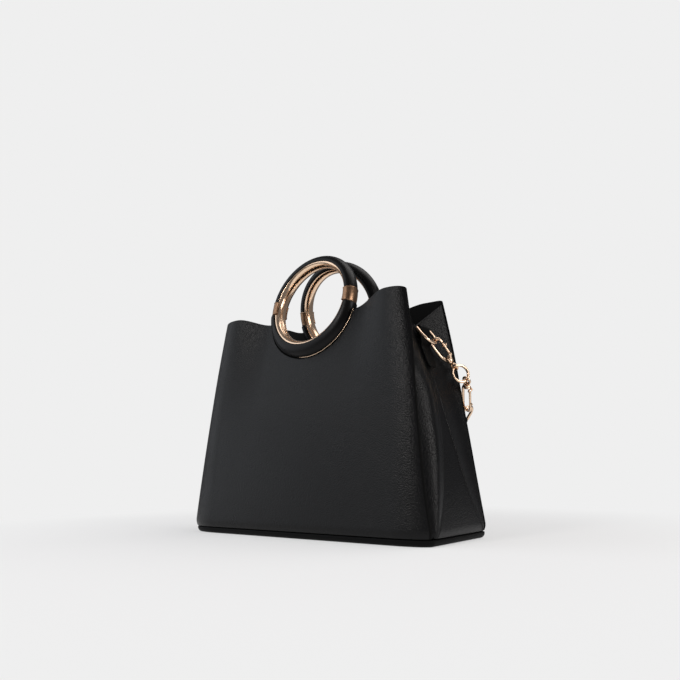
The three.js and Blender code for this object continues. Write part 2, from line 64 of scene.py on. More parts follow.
FOLD_HEIGHTS = (-60, 0, 100, 140, 165, 185, 210, 250, 300)
FOLD_DEPTHS = (0, 0, 4, 8, 12.5, 16.5, 19.5, 21, 21)
TABLE_EASE = 12  # millimetres of height over which lines between tabled heights are smoothed
CREASE_SHARE = 0.4
CREASE_HEIGHTS = (-60, 6, 20, 49, 82, 109, 150, 300)
CREASE_DEPTHS = (54, 44, 34.5, 21, 11.5, 5.5, 2.5, 2.5)
SEAM_INSIDE, CREASE_INSIDE = 1, 3
SEAM_STEP = (3.0, 0.2)  # how far the gusset's front and back seams lie inside the panels' edges
SEAM_TUCK = (3.0, 1.6)  # how far its front and back edges run on past the seams, under the panels
HEM_MIDDLE = 207.5
GUSSET_ROLL, GUSSET_ROLL_SHARE, GUSSET_ROLL_SKEW = 8.0, 0.24, 1.35
GUSSET_ROLL_FADES = (130, 195)
BACK_DIP = -0.3  # the back facet hollows by this share of the front one's roll
RIDGE_HEIGHT, RIDGE_WIDTH = 0.6, 1.2  # pressed edge along the back crease

RING_RADIUS, RING_HEIGHT, RING_DEPTH = 50.0, 243.5, 23.6
RING_LEAN = math.radians(13)
COLLAR_HALF = math.radians(9)
METAL_TUBE = (5.9, 7.9)  # radial and depth half axes
COLLAR_TUBE, COLLAR_ANGLE, COLLAR_RIM = (8.0, 9.6), math.radians(124), math.radians(10)
# A collar's end: distance from the end, and share of the way from the ring's section to the collar's
COLLAR_END = ((0, 0.0), (0, 0.8), (0.12, 0.93), (0.35, 1.0), (0.8, 1.0), (1.0, 0.92), (1.2, 0.82))
COLLAR_ROOT = 0.97  # the collar starts at this share of the ring's section, inside the ring
GRIP_TUBE, GRIP_ANGLE = (7.4, 9.0), math.radians(106)
CUFF_TUBE, CUFF_ANGLE, CUFF_SWELL = (8.8, 9.7), math.radians(90), 3.8
GRIP_WALL, CUFF_WALL = 0.9, 1.5
TRIM_RADIUS, TRIM_OUT, TRIM_SINKS = 0.3, (-0.9, 0.3), (-0.4, 0.2)
SEAT_SHARE = 0.44
SEAT_END = -math.radians(15)
SEAT_SHOULDER, SEAT_BLEND = 104, 3

TAB_WIDTH, TAB_THICKNESS, TAB_TIP = 17, 1.6, 7
TAB_TAPER, TAB_RETURN = 9, 191
TAB_HEIGHTS = np.array([162, 171, 183, 190, 196.5])
TAB_OUT = np.array([131.95, 128.92, 124.74, 124.54, 124.65])  # how far out it lies at those heights
TAB_END = np.array([122.36, 0, TAB_RETURN])
D_LEG, D_CORNER, D_WIRE = 8, 2.5, 1.6
HOOK_ANGLE = math.radians(40)
SIDE_D_HALF, SIDE_D_SWING = 11.5, math.radians(38)
SIDE_BAR = np.array([122.2, 0, 201.5])
STRAP_D_HALF, STRAP_D_LEAN = 8.7, math.radians(37)
STRAP_D_BAR = np.array([123.2, 71.5, 115.3])
O_RADIUS, O_WIRE = 8.6, 1.4
O_CENTRE = np.array([146.2, 29.2, 157.6])
O_NORMAL = np.array([0.83, -0.53, 0.17])
STRAP_WIDTH, STRAP_THICKNESS, STRAP_LAYER_GAP = 12, 2.0, 0.4
STRAP_PINCH, STRAP_BEND, STRAP_OVERLAP, STRAP_LIFT = 8, 38, 24, 0.2
STRAP_WRAP = math.radians(205), -math.radians(25)  # where it meets and leaves the ring's bar

EYE_RADIUS, EYE_WIRE, POST_RADIUS, HEAD_RADIUS, HEAD_HEIGHT = 3.6, 1.2, 1.1, 2.0, 1.2
BORE_RADIUS, BARREL_RADIUS, BARREL_START, BARREL_LENGTH = 1.4, 3.3, 7.8, 5.2
# The barrel's turned profile with its two grooves: depth below its radius, and height on it
BARREL_PROFILE = (
    (0.5, 0), (0.1, 0.3), (0, 0.6), (0, 1.0), (0.4, 1.3), (0.4, 1.6), (0, 1.9),
    (0, 3.3), (0.4, 3.6), (0.4, 3.9), (0, 4.2), (0, 4.6), (0.3, 5.0), (0.7, BARREL_LENGTH),
)
CLAW_WIRE, CLAW_HALF, CLAW_DROP = 1.5, 4.9, 3.0
CLAW_FOOT = ((2.25, -2), (4.4, 2.2), (CLAW_HALF, 6))  # across, and height above the barrel
CLAW_THIN = (0, 0.75, 1), (1, 1, 0.86)  # shares of the claw's length, and of its wire's radius there
PIVOT_ACROSS, PIVOT_RISE, PIN_RADIUS, PIN_HEAD, PIN_END = 4.3, 1.8, 0.6, 1.2, 2.2
PIN_HEAD_RISE, PIN_FOOT = 0.35, 0.3  # half a pin head's height, and how far the pin passes its ear
GATE_EYE, GATE_WIRE, GATE_HALF = 1.6, 1.2, 1.2
SPUR, SPUR_SHARE, SPUR_WIRE = 3.2, 0.68, 0.96
EAR, EAR_THICKNESS, EAR_WIDTH = 2.1, 1.0, 2.6
EAR_ENDS = (-2, -2.6), (-4.9, 3.3)  # across, and height above the barrel
SMALL_EDGE = 0.2  # bevel on the gate's eye and the swivel's head
LATHE_CORE = 0.1  # radius that closes a turned piece round its axis

MERGE_DISTANCE = 2e-6  # metres
SHARP_ANGLE = math.radians(42)


# Arrays

def lerp(a, b, t):
    return a + (b - a) * t


def smoothstep(x, low, high):
    t = np.clip((x - low) / (high - low), 0, 1)
    return t * t * (3 - 2 * t)


def unit(vectors):
    return vectors / np.linalg.norm(vectors, axis=-1, keepdims=True)


def points_of(x, y, z):
    return np.stack(np.broadcast_arrays(x, y, z), -1).astype(float)


def with_rims(samples, rim):
    """The samples, and close to each end those that a half-round rim of that length needs."""
    ease = rim * (1 - np.cos(np.linspace(0, np.pi / 2, 6)))
    low, high = samples[0], samples[-1]
    inner = samples[(samples > low + rim * 1.05) & (samples < high - rim * 1.05)]
    return np.concatenate([low + ease, inner, high - ease[::-1]])


def mirrored(half):
    """Samples from zero up, with the same ones below zero before them."""
    return np.concatenate([-half[:0:-1], half])


def arc(centre, first, second, radius, start, end, count):
    """Points of a circle's arc: the centre plus the radius along two directions by cosine and sine."""
    turn = np.linspace(start, end, count)[:, None]
    return centre + radius * (np.cos(turn) * first + np.sin(turn) * second)


def resampled(path, count, passes=0):
    """Points at equal steps along a polyline, each pass then averaging every point with its neighbours."""
    run = np.concatenate([[0], np.cumsum(np.linalg.norm(np.diff(path, axis=0), axis=1))])
    even = np.linspace(0, run[-1], count)
    made = np.stack([np.interp(even, run, path[:, axis]) for axis in range(3)], -1)
    for _ in range(passes):
        made[1:-1] = (made[:-2] + 2 * made[1:-1] + made[2:]) / 4
    return made


# Parts of meshes: each is its points, its quads and the number of its material

def grid(points, wrap_rows=False, wrap_columns=False, material=0):
    """Quads between neighbouring points of a grid, joined end to end where it wraps."""
    rows, columns = points.shape[:2]
    i, j = np.meshgrid(
        np.arange(rows if wrap_rows else rows - 1),
        np.arange(columns if wrap_columns else columns - 1),
        indexing="ij",
    )
    k, m = (i + 1) % rows, (j + 1) % columns
    quads = np.stack([i * columns + j, i * columns + m, k * columns + m, k * columns + j], -1)
    return points.reshape(-1, 3), quads.reshape(-1, 4), material


def edge_distance(points):
    """Distance of each grid point from the nearest edge, along its row or its column."""
    reach = []
    for axis in (0, 1):
        step = np.linalg.norm(np.diff(points, axis=axis), axis=-1)
        run = np.concatenate([np.zeros_like(step.take([0], axis)), np.cumsum(step, axis)], axis)
        reach.append(np.minimum(run, run.take([-1], axis) - run))
    return np.minimum(*reach)


def shell(outer, wall, sense=1, inner_material=0, edge_rows=0, edge_material=0):
    """Sheet of leather. The middle surface lies half a wall inside the outer grid, and both faces stand off
    it by a height that is half a wall, falling as a quarter circle to nothing along the four edges. The
    outer face's first and last rows may have a material of their own."""
    normal = sense * unit(np.cross(np.gradient(outer, axis=0), np.gradient(outer, axis=1)))
    half = wall / 2
    inside = np.clip(edge_distance(outer) / half, 0, 1)
    height = (half * np.sqrt(1 - (1 - inside) ** 2))[..., None] * normal
    middle = outer - half * normal
    face = middle + height
    made = [grid(middle - height, material=inner_material)]
    if not edge_rows:
        return [*made, grid(face)]
    first, last = face[:edge_rows + 1], face[-edge_rows - 1:]
    return [*made, grid(face[edge_rows:-edge_rows]), grid(first, material=edge_material),
            grid(last, material=edge_material)]


def tube(path, side, radius, closed=False, flatten=1.0, sides=20):
    """Round wire: a circle carried along a path, in the plane square to it. An open end is rounded off, its
    radius falling as a quarter circle over the last radius of length. Flatten scales it along the side."""
    if closed:
        along = unit(np.roll(path, -1, axis=0) - np.roll(path, 1, axis=0))
        size = np.broadcast_to(radius, len(path)).astype(float)
    else:
        along = unit(np.gradient(path, axis=0))
        run = np.concatenate([[0], np.cumsum(np.linalg.norm(np.diff(path, axis=0), axis=1))])
        left = np.minimum(run, run[-1] - run)
        size = radius * np.sqrt(1 - (1 - np.clip(left / np.max(radius), 0, 1)) ** 2)
    across = unit(np.cross(along, side))
    over = np.cross(across, along)
    turn = np.linspace(0, 2 * np.pi, sides, endpoint=False)
    ring = np.cos(turn)[:, None] * across[:, None] + flatten * np.sin(turn)[:, None] * over[:, None]
    return grid(path[:, None] + size[:, None, None] * ring, wrap_rows=closed, wrap_columns=True)


def rod(start, end, radius, side=Y, flatten=1.0):
    """Straight wire with rounded ends; its samples crowd at both ends."""
    share = (1 - np.cos(np.linspace(0, np.pi, 33))) / 2
    return tube(lerp(start, end, share[:, None]), side, radius, flatten=flatten)


def lathe(profile, centre, axis, first, sides=32):
    """Turned ring: a closed profile of (radius, height) pairs carried round an axis."""
    second = np.cross(axis, first)
    turn = np.linspace(0, 2 * np.pi, sides, endpoint=False)[:, None, None]
    out = np.cos(turn) * first + np.sin(turn) * second
    radius, height = np.asarray(profile, float).T[..., None]
    return grid(centre + radius * out + height * axis, wrap_rows=True, wrap_columns=True)


def moved(parts, change):
    """Parts with a function of the point array applied to their points."""
    return [(change(points), quads, material) for points, quads, material in parts]


def build(name, parts, materials, slot, body="bag"):
    """Object that stands for the CAD node of its name: parts put together, doubles merged, faces outwards."""
    counts = np.cumsum([0] + [len(points) for points, _, _ in parts])
    points = np.concatenate([points for points, _, _ in parts]) * MM
    quads = np.concatenate([quads + start for (_, quads, _), start in zip(parts, counts)])
    mesh = bpy.data.meshes.new(name)
    mesh.from_pydata(points.tolist(), [], quads.tolist())
    indices = np.repeat([part[2] for part in parts], [len(part[1]) for part in parts])
    mesh.polygons.foreach_set("material_index", indices)
    work = bmesh.new()
    work.from_mesh(mesh)
    bmesh.ops.remove_doubles(work, verts=work.verts, dist=MERGE_DISTANCE)
    bmesh.ops.recalc_face_normals(work, faces=work.faces)
    work.to_mesh(mesh)
    work.free()
    mesh.polygons.foreach_set("use_smooth", np.ones(len(mesh.polygons), bool))
    mesh.set_sharp_from_angle(angle=SHARP_ANGLE)
    for material in materials:
        mesh.materials.append(material)
    made = bpy.data.objects.new(name, mesh)
    bpy.context.scene.collection.objects.link(made)
    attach(made, body)
    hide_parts(name)
    return made


# Materials

def linear(hex_colour):
    """sRGB hex colour as linear red, green, blue and alpha."""
    srgb = np.array([int(hex_colour[i:i + 2], 16) for i in (1, 3, 5)]) / 255
    rgb = np.where(srgb <= 0.04045, srgb / 12.92, ((srgb + 0.055) / 1.055) ** 2.4)
    return (*rgb.tolist(), 1.0)


def add_node(tree, kind, inputs=None, **settings):
    """Node with its settings; each input is a plain value or the output socket that feeds it."""
    made = tree.nodes.new(kind)
    for key, value in settings.items():
        setattr(made, key, value)
    for key, value in (inputs or {}).items():
        if isinstance(value, bpy.types.NodeSocket):
            tree.links.new(value, made.inputs[key])
        else:
            made.inputs[key].default_value = value
    return made


def new_material(name):
    material = bpy.data.materials.new(name)
    material.use_nodes = True
    material.node_tree.nodes.clear()
    return material, material.node_tree


CELL_STRETCH, CELL_SMOOTHNESS = (1, 1, 1.3), 0.6  # cells are wider than tall
PORE_FINENESS, PORE_SHARE = 2.5, 0.4
RELIEF_STRENGTH = 0.8
PATCH_SIZE, PATCH_SHINE = 60, 0.04
NOISE_LOW, NOISE_HIGH = 0.3, 0.7  # the range that most of a noise pattern lies in


def leather(name, colour, pebble, depth, roughness, speckle, specular):
    """Leather with a pressed grain, sizes in millimetres: rounded cells of the pebble's size and finer pores
    raise the surface, each cell is duller by a random part of the speckle, and broad patches vary the
    shine."""
    material, tree = new_material(name)
    place = add_node(tree, "ShaderNodeTexCoord").outputs["Object"]
    wide = add_node(tree, "ShaderNodeMapping", {"Vector": place, "Scale": CELL_STRETCH}).outputs[0]
    cells = add_node(tree, "ShaderNodeTexVoronoi", {
        "Vector": wide, "Scale": 1 / (pebble * MM), "Smoothness": CELL_SMOOTHNESS,
    }, feature="SMOOTH_F1")
    pores = add_node(tree, "ShaderNodeTexNoise", {
        "Vector": place, "Scale": PORE_FINENESS / (pebble * MM), "Detail": 2.0,
    })
    patches = add_node(tree, "ShaderNodeTexNoise", {
        "Vector": place, "Scale": 1 / (PATCH_SIZE * MM), "Detail": 2.0,
    })
    height = add_node(tree, "ShaderNodeMath", {
        0: pores.outputs["Fac"], 1: PORE_SHARE, 2: cells.outputs["Distance"],
    }, operation="MULTIPLY_ADD")
    relief = add_node(tree, "ShaderNodeBump", {
        "Height": height.outputs[0], "Strength": RELIEF_STRENGTH, "Distance": depth * MM,
    }, invert=True)
    broad = add_node(tree, "ShaderNodeMapRange", {
        "Value": patches.outputs["Fac"], "From Min": NOISE_LOW, "From Max": NOISE_HIGH,
        "To Min": roughness - PATCH_SHINE, "To Max": roughness + PATCH_SHINE,
    })
    dull = add_node(tree, "ShaderNodeMath", {
        0: cells.outputs["Color"], 1: speckle, 2: broad.outputs[0],
    }, operation="MULTIPLY_ADD")
    shader = add_node(tree, "ShaderNodeBsdfPrincipled", {
        "Base Color": linear(colour), "Roughness": dull.outputs[0], "Normal": relief.outputs[0],
        "Specular IOR Level": specular,
    })
    add_node(tree, "ShaderNodeOutputMaterial", {"Surface": shader.outputs[0]})
    return material


# Pressed calf leather: near black, satin, with glints along its grain where light grazes it. The real
# grain is about 1 mm, which is finer than a pixel of the render, so it is drawn at 1.3 mm.
GRAINED = leather("grained_black_calf_leather", "#0b0b0c", 1.3, 0.31, 0.29, 0.06, 0.18)
# Smooth leather over the handles: near black with a soft broad highlight.
SMOOTH = leather("smooth_black_leather", "#0b0a0a", 0.8, 0.05, 0.34, 0.04, 0.16)
# Matt black edge paint, used as painted shade: contact shadow on the sole, the groove's shade on the panels'
# side rolls; also the tabs.
EDGE_PAINT_AND_SHADE = leather("edge_paint_and_painted_shade_black_leather", "#080808", 1.2, 0.12, 0.55, 0.1, 0.08)
# Lining: dead black brushed cotton that shows no highlight.
LINING = leather("black_cotton_lining", "#0b0b0b", 0.6, 0.1, 0.8, 0.1, 0.15)


BRUSH_STRETCH, BRUSH_LINE = (1, 1, 0.06), 1.2  # real lines are finer, and are drawn wide enough to show
POLISH_PATCH, POLISH_RANGE = 9, (0.75, 1.25)


def rose_gold(name, colour, roughness, brushed):
    """Plated metal: a clean warm mirror whose polish varies faintly; where brushed, by fine lines along z."""
    material, tree = new_material(name)
    place = add_node(tree, "ShaderNodeTexCoord").outputs["Object"]
    stretch = BRUSH_STRETCH if brushed else (1, 1, 1)
    along = add_node(tree, "ShaderNodeMapping", {"Vector": place, "Scale": stretch}).outputs[0]
    size = BRUSH_LINE if brushed else POLISH_PATCH
    polish = add_node(tree, "ShaderNodeTexNoise", {"Vector": along, "Scale": 1 / (size * MM), "Detail": 3.0})
    dull = add_node(tree, "ShaderNodeMapRange", {
        "Value": polish.outputs["Fac"], "From Min": NOISE_LOW, "From Max": NOISE_HIGH,
        "To Min": roughness * POLISH_RANGE[0], "To Max": roughness * POLISH_RANGE[1],
    })
    shader = add_node(tree, "ShaderNodeBsdfPrincipled", {
        "Base Color": linear(colour), "Metallic": 1.0, "Roughness": dull.outputs[0],
    })
    add_node(tree, "ShaderNodeOutputMaterial", {"Surface": shader.outputs[0]})
    return material


# Rose-gold plate: pale peach mirror that turns brown where it mirrors itself or the black leather.
GOLD = rose_gold("polished_rose_gold_plate", "#f6d6b8", 0.2, False)
# Brushed collars: the same plate, duller and deeper, with fine lines.
BRUSHED = rose_gold("brushed_rose_gold_plate", "#8f7058", 0.32, True)


# Body

def body_at(z):
    """Half width, half depth, side roll, inward draw and belly at a height. The first three run straight from
    base to top, the width bowing by a parabola; the draw is a smooth maximum of zero and the distance from
    the panel back to the leaning ring's plane; the belly is half a sine wave."""
    rise = (z - SOLE_HEIGHT) / (BODY_HEIGHT - SOLE_HEIGHT)
    half_width = lerp(*BODY_WIDTH, rise) / 2 + SIDE_BOW * 4 * rise * (1 - rise)
    half_depth = lerp(*BODY_DEPTH, rise) / 2
    drawn = half_depth - RING_DEPTH - (RING_HEIGHT - z) * math.tan(RING_LEAN) - WALL / 2
    drawn_in = (drawn + np.hypot(drawn, SEAT_BLEND)) / 2
    belly = BELLY * np.sin(np.pi * np.clip(rise / BELLY_TOP, 0, 1))
    return half_width, half_depth, lerp(*ROLL_RADIUS, rise), drawn_in, belly


def cuff_radial(turn):
    """Cuff's radial half axis at an angle about the ring: it swells by a sine towards the bottom."""
    return CUFF_TUBE[0] + CUFF_SWELL * np.maximum(0, -np.sin(turn))


def grip_radial(turn):
    return GRIP_TUBE[0]


def seat_point(turn):
    """Across and height of the panel's edge under the cuff: a circle about the ring's middle whose radius
    follows the cuff's thickness."""
    radius = RING_RADIUS + cuff_radial(turn) + GAP
    return radius * np.cos(turn), RING_HEIGHT + radius * np.sin(turn) * math.cos(RING_LEAN)


SEAT_FOOT = seat_point(SEAT_END)
TOP_FLAT = BODY_WIDTH[1] / 2 - ROLL_LONG * ROLL_RADIUS[1]


def top_edge(share):
    """Across and height of a panel's top edge: the ring's seat, then a smooth step up to the corner."""
    seat = seat_point(lerp(-np.pi / 2, SEAT_END, np.minimum(share / SEAT_SHARE, 1)))
    across = lerp(SEAT_FOOT[0], TOP_FLAT, np.maximum(share - SEAT_SHARE, 0) / (1 - SEAT_SHARE))
    height = lerp(SEAT_FOOT[1], BODY_HEIGHT, smoothstep(across, SEAT_FOOT[0], SEAT_SHOULDER))
    return np.where(share < SEAT_SHARE, seat, (across, height))


def eased_table(z, heights, values):
    """Value at a height: straight lines between the tabled heights, averaged over a window."""
    window = np.linspace(-TABLE_EASE, TABLE_EASE, 9)
    return np.interp(z[..., None] + window, heights, values).mean(-1)


def foot_tuck(z):
    """How far a wall's foot is turned in: a parabola that ends at the tuck's height."""
    return TUCK_UNDER * (1 - np.minimum((z - SOLE_HEIGHT) / TUCK_HEIGHT, 1)) ** 2


def roll_reach(z, rolled, roll):
    """Across and inward place on the side roll, from where the flat part ends: an ellipse that is long along
    the panel, run round by an angle that depends on the height. Its foot is tucked under, and its last part
    bends in by a parabola."""
    turn = np.radians(eased_table(z, ROLL_HEIGHTS, ROLL_TURNS)) * rolled
    across, inward = ROLL_LONG * roll * np.sin(turn), ROLL_SHORT * roll * (1 - np.cos(turn))
    bent = foot_tuck(z) + CURL * np.maximum(0, (rolled - CURL_START) / (1 - CURL_START)) ** 2
    return across - bent * np.sin(turn), inward + bent * np.cos(turn)


def panel_surface(share, v):
    """Front panel. Columns run from the base to the top edge; up to a share of 1 they spread over the flat
    part, which swells low down and is drawn in to the ring, and from 1 to 2 they turn round the side roll."""
    flat = np.minimum(np.abs(share), 1)
    rolled = np.abs(share) - flat
    top_across, top_height = top_edge(flat)
    drop = CORNER_DROP * (1 - np.sqrt(1 - np.minimum(rolled, 1) ** 2))
    z = lerp(SOLE_HEIGHT + GAP, top_height - drop, v)
    half_width, half_depth, roll, drawn_in, belly = body_at(z)
    edge = half_width - ROLL_LONG * roll
    across = edge * lerp(flat, top_across / TOP_FLAT, v)
    inward = drawn_in * (1 - smoothstep(across, SEAT_FOOT[0], edge))
    outward = belly * np.cos(np.pi / 2 * across / edge)
    roll_across, roll_inward = roll_reach(z, rolled, roll)
    return points_of(
        np.sign(share) * (across + roll_across),
        inward - outward - half_depth + roll_inward,
        z,
    )


def gusset_at(z):
    """At a height: how far out the middle and the panel's edge lie, and how far from the middle the seam and
    the crease lie. The seam follows the panel's edge, and the crease curves from the base corner up to the
    fold."""
    half_width, half_depth, roll, _, _ = body_at(z)
    roll_across, roll_inward = roll_reach(z, 1, roll)
    seam = half_depth - roll_inward - SEAM_INSIDE
    crease = np.minimum(eased_table(z, CREASE_HEIGHTS, CREASE_DEPTHS), seam - CREASE_INSIDE)
    middle = half_width - eased_table(z, FOLD_HEIGHTS, FOLD_DEPTHS) - foot_tuck(z)
    return middle, half_width - ROLL_LONG * roll + roll_across, seam, crease


def gusset_side(depth, z):
    """How far out the gusset stands: level from the middle to the crease, straight on to the seam, with a
    skewed half sine wave between that rolls out at the front, hollows at the back and dies out towards the
    top, and a low ridge along the back crease."""
    middle, panel_edge, seam, crease = gusset_at(z)
    seam_out = panel_edge - np.where(depth < 0, *SEAM_STEP)
    away = np.abs(depth)
    facet = np.clip((away - crease) / (seam - crease), 0, 1)
    full = 1 - smoothstep(z, *GUSSET_ROLL_FADES)
    bulge = full * np.minimum(GUSSET_ROLL, (seam - crease) * GUSSET_ROLL_SHARE)
    wave = np.where(depth < 0, 1, BACK_DIP) * np.sin(np.pi * facet ** GUSSET_ROLL_SKEW)
    ridge = full * RIDGE_HEIGHT * np.exp(-((depth - crease) / RIDGE_WIDTH) ** 2)
    return lerp(middle, seam_out, facet) + bulge * wave + ridge


def gusset_surface(share, v):
    """Right gusset. Columns run from the base to the hem; up to the crease's share they spread over the flat
    triangle, and beyond it over the facet that leans out to the seam and is tucked under the panel."""
    away = np.abs(share)
    triangle = np.minimum(away / CREASE_SHARE, 1)
    facet = np.maximum(0, (away - CREASE_SHARE) / (1 - CREASE_SHARE))
    hem = lerp(HEM_MIDDLE, BODY_HEIGHT - CORNER_DROP - SEAM_INSIDE, facet)
    z = lerp(SOLE_HEIGHT + GAP, hem, v)
    _, _, seam, crease = gusset_at(z)
    edge = seam + np.where(share < 0, *SEAM_TUCK)
    depth = np.sign(share) * lerp(crease * triangle, edge, facet)
    return points_of(gusset_side(depth, z), depth, z)


def half_turn(points):
    return points * (-1, -1, 1)


def other_side(points):
    return points * (-1, 1, 1)


def rounded_slab(half_size, corner, low, high, foot_edge, top_edge):
    """Slab with a rounded plan: the plan's outline, drawn in by quarter circles at its edges, and shrunk to
    its middle on both faces."""
    turn = np.linspace(0, 2 * np.pi, 160, endpoint=False)
    out = np.stack([np.cos(turn), np.sin(turn)], -1)
    outline = np.sign(np.round(out, 9)) * (half_size - corner) + corner * out
    bend = np.linspace(0, np.pi / 2, 7)
    inset = np.concatenate([foot_edge * (1 - np.sin(bend)), top_edge * (1 - np.cos(bend))])
    height = np.concatenate([low + foot_edge * (1 - np.cos(bend)), high - top_edge * (1 - np.sin(bend))])
    rim = outline[:, None] - inset[:, None] * out[:, None]
    share = np.array([0.0, 0.5, 0.97])
    foot = rim[:, :1] * share[:, None]
    head = rim[:, -1:] * share[::-1, None]
    plan = np.concatenate([foot, rim, head], axis=1)
    level = np.concatenate([np.full(len(share), low), height, np.full(len(share), high)])
    return grid(points_of(plan[..., 0], plan[..., 1], level), wrap_rows=True)


PANEL_RIM, GUSSET_RIM = 0.06, 0.02  # shares across a sheet that its half-round side edges take up
FOOT_RIM = 1.0 / BODY_HEIGHT

panel_half = np.concatenate([
    np.linspace(0, SEAT_SHARE, 45), np.linspace(SEAT_SHARE, 1, 32)[1:], np.linspace(1, 2, 33)[1:],
])
panel_shares = with_rims(mirrored(panel_half), PANEL_RIM)[:, None]
panel_rows = with_rims(np.linspace(0, 1, 100), FOOT_RIM)[None]
# The outermost rows along the panel's side edges take the dark matt leather: painted shade of the groove
# where the panel meets the gusset.
panel = shell(
    panel_surface(panel_shares, panel_rows), WALL, inner_material=1, edge_rows=GROOVE_SHADE_ROWS, edge_material=2,
)
build("front_panel", panel, [GRAINED, LINING, EDGE_PAINT_AND_SHADE], "grained_leather")
build("back_panel", moved(panel, half_turn), [GRAINED, LINING, EDGE_PAINT_AND_SHADE], "grained_leather")

crowd = np.linspace(0, 1, 40) ** 1.5  # closer steps near the crease, for its ridge
gusset_half = np.concatenate([
    CREASE_SHARE * (1 - crowd[::-1]), CREASE_SHARE + (1 - CREASE_SHARE) * crowd[1:],
])
gusset_shares = with_rims(mirrored(gusset_half), GUSSET_RIM)[:, None]
gusset_rows = with_rims(np.linspace(0, 1, 110), FOOT_RIM)[None]
gusset = shell(gusset_surface(gusset_shares, gusset_rows), WALL, inner_material=1)
build("gusset_right", gusset, [GRAINED, LINING], "grained_leather")
build("gusset_left", moved(gusset, other_side), [GRAINED, LINING], "grained_leather")

foot_plan = np.array([BODY_WIDTH[0], BODY_DEPTH[0]]) / 2
# The sole's dark matt leather is painted contact shadow under the bag's overhang.
sole = rounded_slab(foot_plan - SOLE_INSET, SOLE_CORNER, 0, SOLE_HEIGHT, SOLE_FOOT_EDGE, SOLE_TOP_EDGE)
build("sole", [sole], [EDGE_PAINT_AND_SHADE], "grained_leather")
base = rounded_slab(foot_plan - BASE_INSET, BASE_CORNER, SOLE_HEIGHT + GAP, BASE_TOP, BASE_EDGE, BASE_EDGE)
build("base_panel", [base], [LINING], "grained_leather")


# Ring handles, each in the plane of its ring and then leant and set in place

def on_ring(turn, out, depth):
    """Point at an angle about the ring's middle, so far outside its centre line and so far in depth."""
    across, up = (RING_RADIUS + out) * np.cos(turn), (RING_RADIUS + out) * np.sin(turn)
    lean_in, lean_up = math.sin(RING_LEAN), math.cos(RING_LEAN)
    return points_of(
        across,
        up * lean_in + depth * lean_up - RING_DEPTH,
        RING_HEIGHT + up * lean_up - depth * lean_in,
    )


def ring_core():
    """Metal ring: an ellipse carried round a circle."""
    turn = np.linspace(0, 2 * np.pi, 600, endpoint=False)[:, None]
    around = np.linspace(0, 2 * np.pi, 72, endpoint=False)
    radial, depth = METAL_TUBE[0] * np.cos(around), METAL_TUBE[1] * np.sin(around)
    return grid(on_ring(turn, radial, depth), wrap_rows=True, wrap_columns=True)


def collar(middle):
    """Metal sleeve over the ring's outer side: a profile of place along the ring and share of the way from
    the ring's section out to the collar's, carried round part of the tube. Its ends stand a little proud,
    and its two long edges fall to the ring by a quarter circle."""
    setback, rises = np.transpose(COLLAR_END)
    ends = RING_RADIUS * COLLAR_HALF - GAP - setback
    crown = np.linspace(0.98, -0.98, 9) * ends[-1]
    place = np.concatenate([ends, crown, -ends[::-1]])
    rise = np.concatenate([rises, np.full(len(crown), rises[-1]), rises[::-1]])
    around = with_rims(np.linspace(-COLLAR_ANGLE, COLLAR_ANGLE, 49), COLLAR_RIM)[:, None]
    left = np.clip((COLLAR_ANGLE - np.abs(around)) / COLLAR_RIM, 0, 1)
    rise = rise * np.sqrt(1 - (1 - left) ** 2)
    radial, depth = (lerp(COLLAR_ROOT * inner, outer, rise) for inner, outer in zip(METAL_TUBE, COLLAR_TUBE))
    points = on_ring(middle + place / RING_RADIUS, radial * np.cos(around), depth * np.sin(around))
    return grid(points, wrap_columns=True, material=1)


def cover(start, end, radial_at, depth, angle, wall):
    """Leather round the outer side of the tube: part of an ellipse carried along the ring, as a sheet."""
    turn = with_rims(np.linspace(start, end, 130), wall / 2 / RING_RADIUS)[:, None]
    around = with_rims(np.linspace(-angle, angle, 44), wall / 2 / depth)
    return shell(on_ring(turn, radial_at(turn) * np.cos(around), depth * np.sin(around)), wall, sense=-1)


def trim():
    """Thin gold line on the panel under the cuff: a circle carried along the seat, its ends rounded off. It
    sinks under the cuff towards the left, by a smooth step of the cosine."""
    turn = np.linspace(-np.pi - SEAT_END, SEAT_END, 140)
    radius = RING_RADIUS + cuff_radial(turn) + lerp(*TRIM_OUT, smoothstep(np.cos(turn), *TRIM_SINKS))
    path = points_of(radius * np.cos(turn), -(WALL / 2 + TRIM_RADIUS), radius * np.sin(turn))
    points, quads, material = tube(path, Y, TRIM_RADIUS, sides=14)
    out = np.hypot(points[:, 0], points[:, 2]) - RING_RADIUS
    return on_ring(np.arctan2(points[:, 2], points[:, 0]), out, points[:, 1]), quads, material


def no_change(points):
    return points


ring = [ring_core(), collar(0), collar(np.pi)]
grip = cover(COLLAR_HALF, np.pi - COLLAR_HALF, grip_radial, GRIP_TUBE[1], GRIP_ANGLE, GRIP_WALL)
cuff = cover(COLLAR_HALF - np.pi, -COLLAR_HALF, cuff_radial, CUFF_TUBE[1], CUFF_ANGLE, CUFF_WALL)
for name, place in (("front", no_change), ("back", half_turn)):
    build(f"handle_{name}_ring", moved(ring, place), [GOLD, BRUSHED], "rose_gold")
    build(f"handle_{name}_grip", moved(grip, place), [SMOOTH], "smooth_leather")
    build(f"handle_{name}_cuff", moved(cuff, place), [SMOOTH], "smooth_leather")
    build(f"handle_{name}_trim", moved([trim()], place), [GOLD], "rose_gold")


# Side fittings, worked out for the right side

def strip(path, half_width, wall):
    """Flat strip: a path in the x, z plane, stood off by half a wall and spread along y, as a sheet."""
    along = unit(np.gradient(path, axis=0))
    outer = path + np.cross(Y, along) * wall / 2
    across = with_rims(np.linspace(-1, 1, 17), wall / 2 / np.max(half_width))
    spread = half_width[:, None, None] * across[:, None] * Y
    return shell(outer[:, None] + spread, wall, sense=-1)


